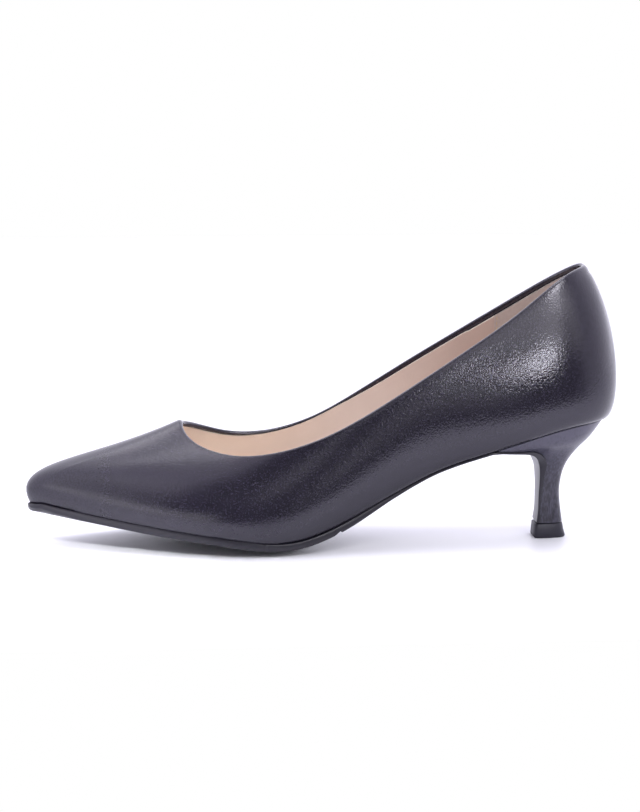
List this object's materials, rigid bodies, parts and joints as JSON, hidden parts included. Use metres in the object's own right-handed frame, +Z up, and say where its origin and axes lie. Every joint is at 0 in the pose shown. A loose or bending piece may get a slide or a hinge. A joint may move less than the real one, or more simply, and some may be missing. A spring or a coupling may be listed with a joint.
{
  "type": "pointed toe pump",
  "caption": "Left pointed toe pump: hollow black leather upper with a low-cut folded topline, arched outsole with toe spring, waisted covered heel and flared top piece.",
  "frame": {"origin": "middle of the shoe's bounding box on the floor that it stands on", "axes": "+Z up from the floor, toe towards -X, heel towards +X, outer side of the foot towards -Y"},
  "size_m": [0.2446, 0.0762, 0.1145],
  "materials": {
    "upper_leather": "smooth black leather with a soft sheen and a fine grain",
    "insole_sock": "matt tan sock leather",
    "outsole_rubber": "black moulded rubber, satin",
    "heel_cover": "black leather stretched over the block",
    "top_piece_rubber": "black rubber, dull"
  },
  "bodies": {
    "root": {"upper": "upper_leather", "insole": "insole_sock", "outsole": "outsole_rubber", "heel": "heel_cover", "top_piece": "top_piece_rubber"}
  },
  "joints": []
}
